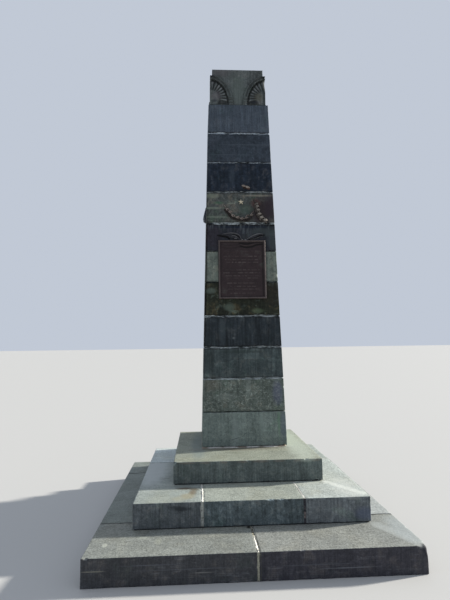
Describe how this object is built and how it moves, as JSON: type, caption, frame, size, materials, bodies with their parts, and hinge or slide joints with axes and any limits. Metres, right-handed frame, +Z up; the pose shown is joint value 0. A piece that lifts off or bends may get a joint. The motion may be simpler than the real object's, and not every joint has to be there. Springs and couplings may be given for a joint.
{
  "type": "stepped stone memorial obelisk",
  "caption": "Tapering stone obelisk laid in courses on a stepped slab base, with a carved capital, a bronze plaque with spread wings, a star and garland remains.",
  "frame": {"origin": "centre of the lowest tier's underside, on the ground", "axes": "+Z up along the shaft, -Y towards the front with the plaque, +X to the right of someone facing the plaque"},
  "size_m": [2.47, 2.6, 4.831],
  "materials": {
    "shaft_stone": "dark green-grey dressed stone, streaked and stained",
    "step_stone": "green-grey slabs with sawn tops and rough faces",
    "mortar": "pale patchy mortar",
    "fill": "rough rubble and mortar fill",
    "bronze": "dark brown weathered bronze",
    "star_bronze": "pale worn bronze"
  },
  "bodies": {
    "root": {"base_front_left": "step_stone", "base_front_right": "step_stone", "base_side_left": "step_stone", "base_side_right": "step_stone", "base_back_left": "step_stone", "base_back_right": "step_stone", "base_core": "fill", "base_mortar": "mortar", "step_front_left": "step_stone", "step_front_center": "step_stone", "step_front_right": "step_stone", "step_back_left": "step_stone", "step_back_center": "step_stone", "step_back_right": "step_stone", "step_core": "fill", "step_mortar": "mortar", "tier_beds": "mortar", "top_slab": "step_stone", "foot_bed": "mortar", "course_1": "shaft_stone", "course_2": "shaft_stone", "course_3": "shaft_stone", "course_4": "shaft_stone", "course_5": "shaft_stone", "course_6": "shaft_stone", "course_7": "shaft_stone", "course_8": "shaft_stone", "course_9": "shaft_stone", "course_10": "shaft_stone", "course_11": "shaft_stone", "shaft_beds": "mortar", "capital": "shaft_stone", "plaque": "bronze", "spread_wings": "bronze", "star": "star_bronze", "garland_left": "bronze", "garland_right": "bronze", "garland_remnant": "bronze", "side_garland": "bronze"}
  },
  "joints": []
}
